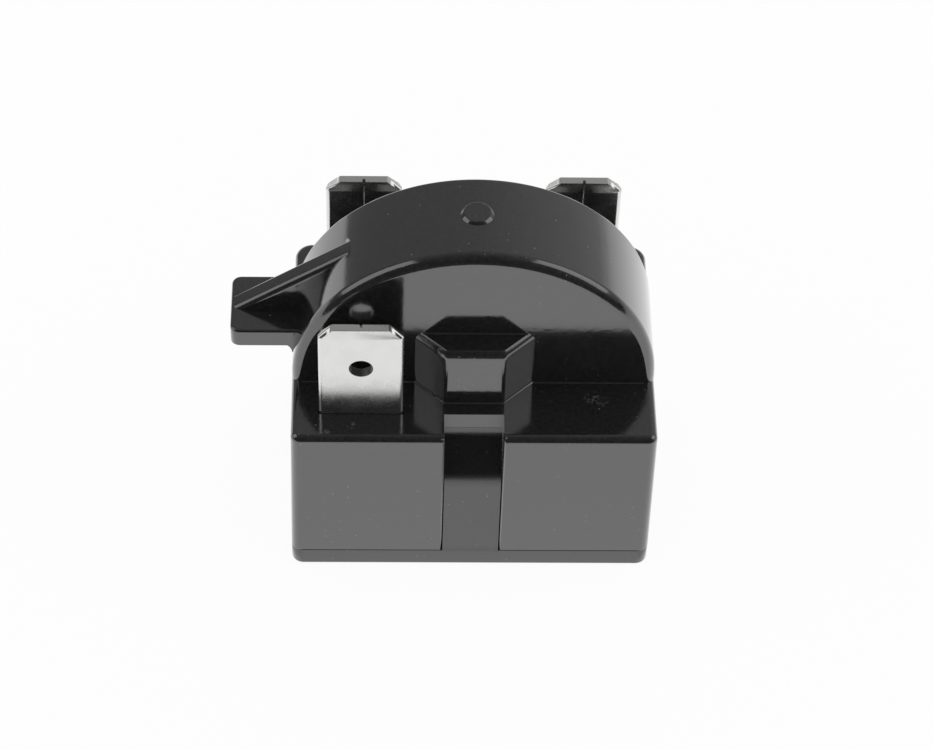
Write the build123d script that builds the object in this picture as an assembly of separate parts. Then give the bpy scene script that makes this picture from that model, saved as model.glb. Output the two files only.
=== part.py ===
from build123d import *
import math
import os

# Millimetres. The origin is the middle of the block's underside, +X is to the right,
# +Y to the back and +Z up, out of the compressor.

# Block of the housing
block_width = 27.4
front_shelf_depth = 5.6
hump_thickness = 8.1
rear_shelf_depth = 6.15
wall_height = 13.5
side_draft = 0.15
front_corner_radius = 0.5
rear_corner_radius = 1.3
shelf_edge_radius = 0.4
seam_edge_cut = 0.12
side_wall = 1.4
shelf_wall = 1.5

# Hump over the disc
hump_wall = 1.3
hump_lift = 0.1
hump_front_edge_radius = 0.6
hump_rear_edge_cut = 0.15
knob_base_diameter = 2.6
knob_top_diameter = 2.1
knob_height = 0.5
knob_setback = 0.4
disc_rib_width = 1.2
disc_rib_angle = 38.0

# Boss on the front shelf
boss_rear_width = 8.9
boss_front_width = 4.4
boss_depth = 2.05
boss_height = 5.6
boss_edge_inset = 0.33
boss_edge_drop = 0.77
boss_corner_radius = 0.2
boss_wall = 1.1

# Arm on the left side
arm_reach = 4.6
arm_depth = 5.6
arm_thickness = 1.6
arm_height = 3.85
arm_setback = 1.6
arm_corner_radius = 0.7
arm_edge_cut = 0.2
arm_root_radius = 1.0
gusset_thickness = 1.55
gusset_setback = 3.7
gusset_hump_height = 9.84
gusset_edge_radius = 0.18

# Latch channels in the front and rear faces, and the cover's tongues in them
channel_width = 4.5
channel_depth = 2.4
channel_wall = 1.0
tongue_gap = 0.13
tongue_setback = 0.22
tongue_ramp_top = 2.06
tongue_ramp_bottom = 5.1
tongue_edge_radius = 0.7
latch_window_width = 3.0
latch_window_height = 2.6
latch_window_bottom = 4.2
latch_bite = 0.6
latch_clearance = 0.15

# Cover
cover_thickness = 1.75
cover_corner_radius = 0.9
cover_edge_cut = 0.25
cover_seam_cut = 0.1
cover_lip_height = 1.2
cover_lip_thickness = 1.0
cover_lip_clearance = 0.2
pin_hole_clearance = 0.5
socket_seat_height = 0.7
socket_seat_gap = 0.1
socket_seat_wall = 0.8

# Compressor pins and the sockets that grip them
pin_diameter = 3.2
pin_circle_diameter = 13.4
socket_height = 8.0
socket_slit = 0.5
socket_leg_width = 2.2
socket_leg_lap = 1.0
clip_sheet = 0.25
clip_height = 4.0
clip_lift = 1.6
clip_opening = 1.4
clip_gap = 0.02
socket_well_clearance = 0.2
socket_rib_width = 0.9
socket_rib_top_gap = 0.45

# Terminals, stamped and folded from one sheet
terminal_sheet = 0.4
tab_height = 9.4
tab_hole_diameter = 1.8
tab_hole_height = 5.2
tab_tip_rise = 1.05
tab_tip_inset = 1.1
tab_tip_thin = 0.15
seam_width = 0.16
seam_depth = 0.3
notch_width = 0.6
notch_depth = 0.35
tab_slot_clearance = 0.04
front_tab_width = 6.3
front_tab_side_gap = 2.09
front_tab_setback = 2.43
rear_tab_width = 5.75
rear_tab_side_gap = 2.475
rear_tab_setback = 1.7
strap_clearance = 0.3
front_strap_width = 2.8

# Ceramic disc and its two contact springs
disc_rim_room = 2.8
disc_thickness = 2.5
disc_lift = 1.75
disc_clearance = 0.15
spring_sheet = 0.3
spring_width = 7.0
spring_wall_gap = 0.1
spring_disc_gap = 0.05
spring_bend_radius = 0.45
spring_height = 6.0
spring_finger_gap = 1.4
spring_foot_width = 3.4
spring_foot_reach = 1.6
spring_strip_width = 1.4
post_offset = 6.0
post_width = 1.8
post_margin = 0.2

# How far a cut runs on past what it cuts
cut_room = 1.0

# Levels and planes worked out from the sizes above
block_depth = front_shelf_depth + hump_thickness + rear_shelf_depth
front_y = -block_depth / 2
rear_y = block_depth / 2
hump_front_y = front_y + front_shelf_depth
hump_rear_y = rear_y - rear_shelf_depth
seam_z = cover_thickness
shelf_z = seam_z + wall_height
ceiling_z = shelf_z - shelf_wall
hump_radius = block_width / 2
hump_z = shelf_z + hump_lift
chamber_radius = hump_radius - side_wall
chamber_front_y = hump_front_y + hump_wall
chamber_rear_y = hump_rear_y - hump_wall
disc_radius = chamber_radius - disc_rim_room
disc_y = (chamber_front_y + chamber_rear_y) / 2
disc_z = shelf_z + disc_lift
pin_radius = pin_diameter / 2
socket_radius = pin_radius + terminal_sheet
clip_radius = socket_radius + clip_gap + clip_sheet
socket_bottom_z = seam_z + socket_seat_height + socket_seat_gap
socket_top_z = socket_bottom_z + socket_height
front_pin_y = front_y + channel_depth + channel_wall + socket_well_clearance + clip_radius
rear_pin_y = front_pin_y + pin_circle_diameter * 0.75
rear_pin_x = pin_circle_diameter / 2 * math.cos(math.radians(30))
tab_thickness = 2 * terminal_sheet
strap_top_z = ceiling_z
strap_bottom_z = strap_top_z - terminal_sheet
foot_bottom_z = strap_bottom_z - spring_sheet
front_tab_offset = block_width / 2 - front_tab_side_gap - front_tab_width / 2
rear_tab_offset = block_width / 2 - rear_tab_side_gap - rear_tab_width / 2
front_tab_y = front_y + front_tab_setback + tab_thickness / 2
rear_tab_y = rear_y - rear_tab_setback - tab_thickness / 2


def span_box(low, high):
    """A box from its lowest to its highest corner."""
    sizes = [b - a for a, b in zip(low, high)]
    middle = [(a + b) / 2 for a, b in zip(low, high)]
    return Pos(*middle) * Box(*sizes)


def block_outline(extra, front_radius, rear_radius):
    """The block's plan, wider on every side by extra, with its own front and rear corners."""
    plan = Rectangle(block_width + 2 * extra, block_depth + 2 * extra)
    rows = plan.vertices().group_by(Axis.Y)
    plan = fillet(rows[0], front_radius)
    return fillet(plan.vertices().group_by(Axis.Y)[-1], rear_radius)


def upright_edges(body):
    """The block's standing edges, which lean by the draft, from front to rear."""
    return body.edges().filter_by(lambda e: abs(e.tangent_at(0).Z) > 0.9).sort_by(Axis.Y)


def block_body():
    """The outer block: it widens towards the cover by the mould's draft."""
    bottom = Pos(0, 0, seam_z) * Rectangle(block_width + 2 * side_draft, block_depth + 2 * side_draft)
    draft_angle = math.degrees(math.atan2(side_draft, wall_height))
    body = extrude(bottom, wall_height, taper=draft_angle)
    body = fillet(upright_edges(body)[:2], front_corner_radius)
    body = fillet(upright_edges(body)[-2:], rear_corner_radius)
    body = fillet(body.faces().sort_by(Axis.Z)[-1].edges(), shelf_edge_radius)
    return chamfer(body.faces().sort_by(Axis.Z)[0].edges(), seam_edge_cut)


def hump_body():
    """The round-topped hump, flush with the block's sides, its front edge well rounded."""
    arch = Pos(0, hump_z) * Circle(hump_radius)
    arch &= Pos(0, hump_z + hump_radius / 2) * Rectangle(block_width, hump_radius)
    skirt = shelf_wall + hump_lift
    arch += Pos(0, hump_z - skirt / 2) * Rectangle(block_width, skirt)
    hump = extrude(Plane.XZ.offset(-hump_rear_y) * arch, hump_thickness)
    crown = hump.edges().filter_by(GeomType.CIRCLE).sort_by(Axis.Y)
    sides = hump.edges().filter_by(Axis.Z).group_by(Axis.Y)
    hump = fillet([crown[0]] + list(sides[0]), hump_front_edge_radius)
    crown = hump.edges().filter_by(GeomType.CIRCLE).filter_by(lambda e: e.center().Y > disc_y)
    sides = hump.edges().filter_by(Axis.Z).group_by(Axis.Y)
    return chamfer(list(crown) + list(sides[-1]), hump_rear_edge_cut)


def knob():
    """The small tapered knob on the crown of the hump, sunk in by its own height."""
    sunk_radius = knob_base_diameter - knob_top_diameter / 2
    button = Cone(sunk_radius, knob_top_diameter / 2, 2 * knob_height)
    return Pos(0, disc_y + knob_setback, hump_z + hump_radius) * button


def boss_outline(inset):
    """The boss's half hexagon, inset by a wall, running back into the hump."""
    rear_half = boss_rear_width / 2 - inset
    front_half = boss_front_width / 2 - inset / 2
    front_edge = hump_front_y - boss_depth + inset
    back_edge = hump_front_y + hump_wall / 2
    corners = [
        (-rear_half, back_edge),
        (-rear_half, hump_front_y),
        (-front_half, front_edge),
        (front_half, front_edge),
        (rear_half, hump_front_y),
        (rear_half, back_edge),
    ]
    return make_face(Polyline(*corners, close=True))


def boss_body():
    """The faceted boss on the front shelf, its upper rim broken by a steep slope."""
    boss = extrude(Pos(0, 0, shelf_z - shelf_wall / 2) * boss_outline(0), boss_height + shelf_wall / 2)
    top = boss.faces().sort_by(Axis.Z)[-1]
    rim = top.edges().filter_by(lambda e: e.center().Y < hump_front_y)
    boss = chamfer(rim, boss_edge_inset, boss_edge_drop, reference=top)
    uprights = boss.edges().filter_by(Axis.Z).filter_by(lambda e: e.center().Y < hump_front_y - 0.01)
    return fillet(uprights, boss_corner_radius)


def arm_body():
    """The side arm: a flat plate with a rounded root and a sloping gusset on top."""
    tip_x = -block_width / 2 - arm_reach
    root_x = -chamber_radius
    top_z = shelf_z + arm_height
    low_y = hump_front_y + arm_setback
    plate = span_box((tip_x, low_y, top_z - arm_thickness), (root_x, low_y + arm_depth, top_z))
    plate = fillet(plate.edges().filter_by(Axis.Z).group_by(Axis.X)[0], arm_corner_radius)
    plate = chamfer(plate.faces().sort_by(Axis.Z)[-1].outer_wire().edges(), arm_edge_cut)

    under_z = top_z - arm_thickness
    outer_x = -block_width / 2 - arm_root_radius
    root = make_face(
        Polyline(
            (outer_x, under_z + 0.1),
            (outer_x, under_z),
            (-block_width / 2, under_z - arm_root_radius),
            (root_x, under_z - arm_root_radius),
            (root_x, under_z + 0.1),
            close=True,
        )
    )
    root -= Pos(outer_x, under_z - arm_root_radius) * Circle(arm_root_radius)
    root = extrude(Plane.XZ.offset(-low_y - arm_depth + arm_edge_cut) * root, arm_depth - 2 * arm_edge_cut)

    gusset_x = -math.sqrt(hump_radius**2 - (gusset_hump_height - hump_lift) ** 2)
    slope = make_face(
        Polyline(
            (tip_x + arm_edge_cut / 2, top_z - arm_edge_cut),
            (tip_x + arm_edge_cut / 2, top_z),
            (gusset_x, shelf_z + gusset_hump_height),
            (gusset_x + side_wall / 2, shelf_z + gusset_hump_height - side_wall),
            (root_x, top_z - arm_edge_cut),
            close=True,
        )
    )
    gusset_rear_y = hump_front_y + gusset_setback + gusset_thickness
    gusset = extrude(Plane.XZ.offset(-gusset_rear_y) * slope, gusset_thickness)
    ridge = gusset.edges().filter_by(lambda e: e.center().Z > top_z + 1 and e.length > arm_reach)
    gusset = fillet(ridge, gusset_edge_radius)
    return plate + root + gusset


def channel(side):
    """The cut for one latch channel: side is -1 at the front and 1 at the rear."""
    face_y = side * block_depth / 2
    outer = face_y + side * (side_draft + cut_room)
    inner = face_y - side * channel_depth
    half = channel_width / 2
    return span_box((-half, min(outer, inner), 0), (half, max(outer, inner), shelf_z + cut_room))


def latch_window(side):
    """The hole behind a channel that the tongue's hook snaps into."""
    face_y = side * block_depth / 2
    near = face_y - side * channel_depth
    far = near - side * (channel_wall + cut_room)
    low = seam_z + latch_window_bottom
    half = latch_window_width / 2
    return span_box((-half, min(near, far), low), (half, max(near, far), low + latch_window_height))


def lower_room():
    """The space inside the block, with the channels' walls left standing."""
    half_x = block_width / 2 - side_wall
    half_y = block_depth / 2 - side_wall
    room = span_box((-half_x, -half_y, 0), (half_x, half_y, ceiling_z))
    room = fillet(room.edges().filter_by(Axis.Z), rear_corner_radius / 2)
    wall_half = channel_width / 2 + channel_wall
    wall_depth = channel_depth + channel_wall
    for side in (-1, 1):
        face_y = side * block_depth / 2
        inner = face_y - side * wall_depth
        outer = face_y + side
        room -= span_box((-wall_half, min(inner, outer), 0), (wall_half, max(inner, outer), ceiling_z))
    return room


def disc_chamber():
    """The D-shaped space in the hump that the disc stands in."""
    arch = Pos(0, hump_z) * Circle(chamber_radius)
    below = shelf_wall + cut_room
    arch &= Pos(0, hump_z + chamber_radius / 2) * Rectangle(2 * chamber_radius, chamber_radius)
    arch += Pos(0, hump_z - below / 2) * Rectangle(2 * chamber_radius, below)
    return extrude(Plane.XZ.offset(-chamber_rear_y) * arch, chamber_rear_y - chamber_front_y)


def disc_ribs():
    """Three ribs inside the crown that keep the disc from rising."""
    ribs = []
    for angle in (-disc_rib_angle, 0, disc_rib_angle):
        length = hump_radius - side_wall / 2
        rib = Pos(0, 0, length / 2) * Box(disc_rib_width, chamber_rear_y - chamber_front_y, length)
        ribs.append(Pos(0, disc_y, hump_z) * Rot(0, angle, 0) * rib)
    round_seat = Cylinder(disc_radius + disc_clearance, hump_thickness)
    seat = Pos(0, disc_y, disc_z) * Rot(90, 0, 0) * round_seat
    below = span_box((-hump_radius, front_y, 0), (hump_radius, rear_y, disc_z))
    gap = spring_sheet + 2 * spring_wall_gap + spring_bend_radius * 2
    front_room = span_box(
        (-hump_radius, chamber_front_y, 0), (hump_radius, chamber_front_y + gap, shelf_z + 2 * hump_radius)
    )
    rear_room = span_box(
        (-hump_radius, chamber_rear_y - gap, 0), (hump_radius, chamber_rear_y, shelf_z + 2 * hump_radius)
    )
    return [rib - seat - below - front_room - rear_room for rib in ribs]


def pin_places():
    """Where the compressor's pins stand: common in front, start and run behind."""
    return {
        "common": (0, front_pin_y),
        "start": (-rear_pin_x, rear_pin_y),
        "run": (rear_pin_x, rear_pin_y),
    }


def socket_wells():
    """Ribs that flank each socket, standing off the block's front and rear walls."""
    top_z = strap_bottom_z - socket_rib_top_gap
    reach = clip_radius + socket_well_clearance
    walls = []
    for name, (x, y) in pin_places().items():
        wall_y = -block_depth / 2 + side_wall / 2 if name == "common" else block_depth / 2 - side_wall / 2
        end_y = y + reach / 2 if name == "common" else y - reach / 2
        for side in (-1, 1):
            near = x + side * reach
            far = near + side * socket_rib_width
            low = (min(near, far), min(wall_y, end_y), seam_z + cover_lip_height + cover_lip_clearance)
            walls.append(span_box(low, (max(near, far), max(wall_y, end_y), top_z)))
    return walls


def socket_clearances():
    """Round spaces that the sockets and their clips stand in, from the cover to the strap."""
    radius = clip_radius + socket_well_clearance
    height = strap_bottom_z - seam_z
    column = Pos(0, 0, seam_z + height / 2) * Cylinder(radius, height)
    return [Pos(x, y, 0) * column for x, y in pin_places().values()]


def tab_slot(x, y, width):
    """The slot in the shelf that a tab stands in."""
    half_x = width / 2 + tab_slot_clearance
    half_y = tab_thickness / 2 + tab_slot_clearance
    low = (x - half_x, y - half_y, ceiling_z - cut_room)
    high = (x + half_x, y + half_y, shelf_z + cut_room)
    return span_box(low, high)


def housing():
    """The one-piece moulded housing."""
    shell = block_body() + hump_body() + knob() + boss_body() + arm_body()
    shell -= channel(-1)
    shell -= channel(1)
    shell -= lower_room()
    shell -= disc_chamber()
    pocket_height = cut_room + shelf_wall + boss_height - boss_wall
    pocket = extrude(Pos(0, 0, ceiling_z - cut_room) * boss_outline(boss_wall), pocket_height)
    shell -= pocket
    for rib in disc_ribs() + socket_wells():
        shell += rib
    for space in socket_clearances():
        shell -= space
    shell -= latch_window(-1)
    shell -= latch_window(1)
    shell -= tab_slot(-front_tab_offset, front_tab_y, front_tab_width)
    shell -= tab_slot(-rear_tab_offset, rear_tab_y, rear_tab_width)
    shell -= tab_slot(rear_tab_offset, rear_tab_y, rear_tab_width)
    return shell


def tongue(side):
    """One snap tongue of the cover: a ramped nose in the channel and a hook behind it."""
    face_y = block_depth / 2
    outer = face_y - tongue_setback
    inner = face_y - channel_depth + tongue_gap
    base_z = cover_thickness / 2
    profile = make_face(
        Polyline(
            (inner, base_z),
            (outer, base_z),
            (outer, shelf_z - tongue_ramp_bottom),
            (inner, shelf_z - tongue_ramp_top),
            close=True,
        )
    )
    bend = profile.vertices().sort_by(lambda v: v.Y + v.X)[-1]
    profile = fillet(bend, tongue_edge_radius)
    width = channel_width - 2 * tongue_gap
    nose = extrude(Plane.YZ.offset(-width / 2) * profile, width)
    hook_low = seam_z + latch_window_bottom + latch_clearance
    hook_top = seam_z + latch_window_bottom + latch_window_height - latch_clearance
    hook = make_face(
        Polyline(
            (inner + latch_bite, hook_low),
            (inner + latch_bite, hook_top),
            (inner, hook_top),
            (inner - latch_bite, hook_low),
            close=True,
        )
    )
    hook_width = latch_window_width - 2 * latch_clearance
    nose += extrude(Plane.YZ.offset(-hook_width / 2) * hook, hook_width)
    return nose if side > 0 else mirror(nose, Plane.XZ)


def disc_posts():
    """Two posts on the cover that the disc's rim stands on."""
    depth = disc_thickness - 2 * post_margin
    round_seat = Cylinder(disc_radius + disc_clearance, hump_thickness)
    seat = Pos(0, disc_y, disc_z) * Rot(90, 0, 0) * round_seat
    posts = []
    for side in (-1, 1):
        x = side * post_offset
        top_z = disc_z - disc_radius / 2
        post = span_box(
            (x - post_width / 2, disc_y - depth / 2, cover_thickness / 2),
            (x + post_width / 2, disc_y + depth / 2, top_z),
        )
        posts.append(post - seat)
    return posts


def bottom_cover():
    """The cover: a plate with pin holes, a locating lip, disc posts and two snap tongues."""
    plan = block_outline(side_draft, cover_corner_radius, rear_corner_radius)
    plate = extrude(plan, cover_thickness)
    plate = chamfer(plate.faces().sort_by(Axis.Z)[0].edges(), cover_edge_cut)
    plate = chamfer(plate.faces().sort_by(Axis.Z)[-1].edges(), cover_seam_cut)

    inset = side_wall + cover_lip_clearance
    half_x = block_width / 2 - inset
    half_y = block_depth / 2 - inset
    low_z = cover_thickness / 2
    top_z = seam_z + cover_lip_height
    inside = span_box((-half_x, -half_y, low_z), (half_x, half_y, top_z))
    inside = fillet(inside.edges().filter_by(Axis.Z), rear_corner_radius / 2)
    core_x = half_x - cover_lip_thickness
    core_y = half_y - cover_lip_thickness
    lip = inside - span_box((-core_x, -core_y, 0), (core_x, core_y, top_z + cut_room))
    lip_break = channel_width / 2 + channel_wall + cover_lip_clearance
    plate += lip - span_box((-lip_break, front_y, 0), (lip_break, rear_y, top_z + cut_room))

    seat_width = 2 * (pin_radius + pin_hole_clearance + socket_seat_wall)
    seat_height = cover_thickness / 2 + socket_seat_height
    for x, y in pin_places().values():
        seat = Pos(x, y, low_z + seat_height / 2) * Box(seat_width, seat_width, seat_height)
        plate += seat & inside
    for side in (-1, 1):
        face_y = side * block_depth / 2
        inner = face_y - side * (channel_depth + channel_wall + tongue_gap)
        outer = face_y + side
        plate -= span_box(
            (-lip_break, min(inner, outer), seam_z), (lip_break, max(inner, outer), top_z + cut_room)
        )
    for piece in disc_posts() + [tongue(-1), tongue(1)]:
        plate += piece
    for x, y in pin_places().values():
        plate -= Pos(x, y, shelf_z / 2) * Cylinder(pin_radius + pin_hole_clearance, shelf_z)
    return plate


def spade_tab(width, seam_side):
    """A folded quick-connect tab above the shelf, and its shank down to the strap."""
    low_z = strap_bottom_z
    top_z = shelf_z + tab_height
    bend_z = top_z - tab_tip_rise
    shank = extrude(Pos(0, 0, low_z) * SlotOverall(width, tab_thickness), top_z - low_z)
    wide = Pos(0, 0, bend_z) * Rectangle(width, tab_thickness)
    narrow_width = width - 2 * tab_tip_inset
    narrow = Pos(0, 0, top_z) * Rectangle(narrow_width, tab_thickness - 2 * tab_tip_thin)
    envelope = loft([wide, narrow], ruled=True)
    envelope += span_box((-width / 2, -tab_thickness / 2, low_z), (width / 2, tab_thickness / 2, bend_z))
    tab = shank & envelope

    seam_y = seam_side * tab_thickness / 2
    groove = make_face(
        Polyline(
            (-seam_width / 2, seam_y),
            (0, seam_y - seam_side * seam_depth),
            (seam_width / 2, seam_y),
            (seam_width / 2, seam_y + seam_side * seam_width),
            (-seam_width / 2, seam_y + seam_side * seam_width),
            close=True,
        )
    )
    tab -= extrude(Pos(0, 0, shelf_z) * groove, tab_height)
    notch = make_face(
        Polyline(
            (-notch_width / 2, top_z + 0.01),
            (0, top_z - notch_depth),
            (notch_width / 2, top_z + 0.01),
            close=True,
        )
    )
    notch_solid = extrude(Plane.XZ * notch, terminal_sheet)
    if seam_side > 0:
        notch_solid = Pos(0, terminal_sheet, 0) * notch_solid
    tab -= notch_solid
    hole = Pos(0, 0, shelf_z + tab_hole_height) * Rot(90, 0, 0)
    return tab - hole * Cylinder(tab_hole_diameter / 2, 2 * tab_thickness)


def pin_socket(x, y, leg_side):
    """A rolled sleeve with a slit, and the flat leg on its leg_side that rises to the strap."""
    middle_z = socket_bottom_z + socket_height / 2
    sleeve = Pos(0, 0, middle_z) * Cylinder(socket_radius, socket_height)
    leg_faces = sorted((leg_side * pin_radius, leg_side * socket_radius))
    half_leg = socket_leg_width / 2
    leg_low_z = socket_top_z - socket_leg_lap
    sleeve += span_box((-half_leg, leg_faces[0], leg_low_z), (half_leg, leg_faces[1], strap_top_z))
    sleeve -= Pos(0, 0, middle_z) * Cylinder(pin_radius, socket_height)
    slit_faces = sorted((0, -leg_side * (socket_radius + terminal_sheet)))
    half_slit = socket_slit / 2
    sleeve -= span_box((-half_slit, slit_faces[0], 0), (half_slit, slit_faces[1], strap_bottom_z))
    return Pos(x, y, 0) * sleeve


def common_terminal():
    """Front tab, strap and socket, folded from one sheet."""
    tab = Pos(-front_tab_offset, front_tab_y, 0) * spade_tab(front_tab_width, 1)
    x, y = pin_places()["common"]
    left = -front_tab_offset - front_tab_width / 2
    right = -front_tab_offset + front_tab_width / 2
    strap_front = y - socket_radius
    strap_rear = strap_front + front_strap_width
    leg_right = x + socket_leg_width / 2
    tab_face = front_tab_y - tab_thickness / 2
    strap = span_box((left, tab_face, strap_bottom_z), (right, strap_rear, strap_top_z))
    strap += span_box((right, strap_front, strap_bottom_z), (leg_right, strap_rear, strap_top_z))
    return tab + strap + pin_socket(x, y, -1)


def rear_terminal(side):
    """A rear tab, strap and socket, folded from one sheet: side is -1 for start, 1 for run."""
    tab = Pos(side * rear_tab_offset, rear_tab_y, 0) * spade_tab(rear_tab_width, -1)
    x, y = pin_places()["start" if side < 0 else "run"]
    outer = rear_tab_offset + rear_tab_width / 2
    inner = abs(x) - socket_leg_width / 2
    strap_front = chamber_rear_y + strap_clearance
    strap_rear = rear_tab_y + tab_thickness / 2
    low_x, high_x = sorted((side * inner, side * outer))
    strap = span_box((low_x, strap_front, strap_bottom_z), (high_x, strap_rear, strap_top_z))
    return tab + strap + pin_socket(x, y, 1)


def socket_clip(name):
    """The open spring ring that keeps a socket tight on its pin."""
    x, y = pin_places()[name]
    leg_side = -1 if name == "common" else 1
    middle_z = socket_bottom_z + clip_lift + clip_height / 2
    ring = Cylinder(clip_radius, clip_height) - Cylinder(clip_radius - clip_sheet, clip_height)
    opening_y = -leg_side * clip_radius
    half_height = clip_height / 2
    ring -= span_box(
        (-clip_opening / 2, min(opening_y, 0), -half_height),
        (clip_opening / 2, max(opening_y, 0), half_height),
    )
    return Pos(x, y, middle_z) * ring


def ptc_disc():
    """The ceramic disc that stands upright in the hump."""
    return Pos(0, disc_y, disc_z) * Rot(90, 0, 0) * Cylinder(disc_radius, disc_thickness)


def leaf(side):
    """A hairpin leaf in one side of the chamber, with two fingers that press on the disc."""
    wall_y = chamber_front_y if side < 0 else chamber_rear_y
    back_y = wall_y - side * (spring_wall_gap + spring_sheet / 2)
    disc_face_y = disc_y + side * disc_thickness / 2
    touch_y = disc_face_y + side * (spring_disc_gap + spring_sheet / 2)
    middle_y = (back_y + touch_y) / 2
    foot_z = strap_bottom_z - spring_sheet / 2
    top_z = disc_z + spring_height
    path = FilletPolyline(
        (0, back_y - side * spring_bend_radius, foot_z),
        (0, back_y, foot_z),
        (0, back_y, top_z),
        (0, middle_y, top_z + spring_bend_radius),
        (0, touch_y, disc_z),
        (0, middle_y, disc_z - spring_height / 3),
        radius=spring_bend_radius / 2,
    )
    start = Plane(origin=path @ 0, x_dir=(1, 0, 0), z_dir=path % 0)
    strip = sweep(start * Rectangle(spring_width, spring_sheet), path)
    near_y, far_y = sorted((back_y - side * spring_sheet, disc_face_y))
    gap_low = (-spring_finger_gap / 2, near_y, disc_z - spring_height)
    gap_high = (spring_finger_gap / 2, far_y, top_z - spring_sheet)
    return strip - span_box(gap_low, gap_high)


def run_contact_spring():
    """The rear leaf, with a foot under the run terminal's strap."""
    x = pin_places()["run"][0]
    back_y = chamber_rear_y - spring_wall_gap - spring_sheet
    foot_y = chamber_rear_y + strap_clearance + spring_foot_reach
    left_x = x - spring_foot_width / 2
    right_x = x + spring_foot_width / 2
    foot = span_box((left_x, back_y, foot_bottom_z), (right_x, foot_y, strap_bottom_z))
    bridge = span_box(
        (-spring_width / 2, back_y - spring_bend_radius, foot_bottom_z),
        (right_x, back_y + spring_sheet, strap_bottom_z),
    )
    return leaf(1) + bridge + foot


def start_contact_spring():
    """The front leaf, with a strip past the disc to the start terminal's strap."""
    outer_x = -rear_tab_offset - rear_tab_width / 2
    inner_x = outer_x + spring_strip_width
    front_edge = chamber_front_y + spring_wall_gap
    rear_edge = front_edge + spring_sheet + spring_bend_radius
    foot_y = chamber_rear_y + strap_clearance + spring_foot_reach
    bridge = span_box((outer_x, front_edge, foot_bottom_z), (spring_width / 2, rear_edge, strap_bottom_z))
    strip = span_box((outer_x, front_edge, foot_bottom_z), (inner_x, foot_y, strap_bottom_z))
    return leaf(-1) + bridge + strip


pieces = {
    "housing": housing(),
    "bottom_cover": bottom_cover(),
    "common_terminal": common_terminal(),
    "start_terminal": rear_terminal(-1),
    "run_terminal": rear_terminal(1),
    "common_socket_clip": socket_clip("common"),
    "start_socket_clip": socket_clip("start"),
    "run_socket_clip": socket_clip("run"),
    "ptc_disc": ptc_disc(),
    "start_contact_spring": start_contact_spring(),
    "run_contact_spring": run_contact_spring(),
}

os.makedirs("parts", exist_ok=True)
for name, piece in pieces.items():
    export_step(piece, f"parts/{name}.step")
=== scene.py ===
import math

import bmesh
import bpy
from mathutils import Matrix, Vector


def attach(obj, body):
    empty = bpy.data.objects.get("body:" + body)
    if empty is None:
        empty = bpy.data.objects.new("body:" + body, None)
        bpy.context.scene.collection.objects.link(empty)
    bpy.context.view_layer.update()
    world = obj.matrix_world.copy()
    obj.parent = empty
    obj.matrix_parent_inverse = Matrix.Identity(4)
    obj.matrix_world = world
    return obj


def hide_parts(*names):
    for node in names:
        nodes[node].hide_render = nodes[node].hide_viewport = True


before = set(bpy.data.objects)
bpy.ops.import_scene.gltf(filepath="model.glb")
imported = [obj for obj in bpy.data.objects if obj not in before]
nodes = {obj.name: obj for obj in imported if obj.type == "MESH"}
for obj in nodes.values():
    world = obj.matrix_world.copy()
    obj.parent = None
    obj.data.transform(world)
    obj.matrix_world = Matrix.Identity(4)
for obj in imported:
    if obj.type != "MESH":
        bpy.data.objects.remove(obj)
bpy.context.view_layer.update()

# Housing, block and hump. The relay's housing is one injection moulding in glossy black plastic.
# The mould leaves a slight draft on the block, a rounded edge round its shelves, and a hump that
# is round like the ceramic disc inside it. Sizes in these sections are in millimetres.

block_width = 27.4
block_depth = 19.85
front_y = -block_depth / 2
rear_y = block_depth / 2
seam_z = 1.75
shelf_z = 15.25
ceiling_z = 13.75
side_draft = 0.15
front_corner = 0.7
rear_corner = 1.3
shelf_edge = 0.55
seam_cut = 0.12
hump_front_y = -4.325
hump_rear_y = 3.775
hump_z = 15.35
hump_radius = 13.7
hump_steps = 144
hump_front_edge = 0.78
hump_rear_edge = 0.3
gusset_near_y = -0.625
gusset_far_y = 0.925
gusset_margin = 0.3
draft_slack = 0.2
touching = 0.001
near_enough = 0.01
straight_share = 0.98


def soften(form, chosen, radius, steps):
    """Rounds the edges that a test chooses."""
    bmesh.ops.bevel(
        form, geom=[edge for edge in form.edges if chosen(edge)], offset=radius, segments=steps,
        profile=0.5, affect="EDGES", material=-1, clamp_overlap=True
    )


def middle(edge):
    return (edge.verts[0].co + edge.verts[1].co) / 2


def runs_along(edge, axis):
    line = edge.verts[1].co - edge.verts[0].co
    return abs(line[axis]) > straight_share * line.length


def at_level(edge, axis, level):
    return all(abs(vert.co[axis] - level) < touching for vert in edge.verts)


def box(low, high):
    """A plain block between two corners, as the start of a shape."""
    form = bmesh.new()
    bmesh.ops.create_cube(form, size=1)
    low, high = Vector(low), Vector(high)
    bmesh.ops.scale(form, vec=high - low, verts=form.verts)
    bmesh.ops.translate(form, vec=(low + high) / 2, verts=form.verts)
    return form


def draw_out(form, outline, along):
    """Draws an outline's faces out along a vector, which closes the form."""
    drawn = bmesh.ops.extrude_face_region(form, geom=outline)["geom"]
    moved = [part for part in drawn if isinstance(part, bmesh.types.BMVert)]
    bmesh.ops.translate(form, vec=along, verts=moved)
    bmesh.ops.recalc_face_normals(form, faces=form.faces)
    return form


def prism(corners, along):
    """An outline of corners drawn out along a vector."""
    form = bmesh.new()
    outline = form.faces.new([form.verts.new(corner) for corner in corners])
    return draw_out(form, [outline], along)


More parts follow.
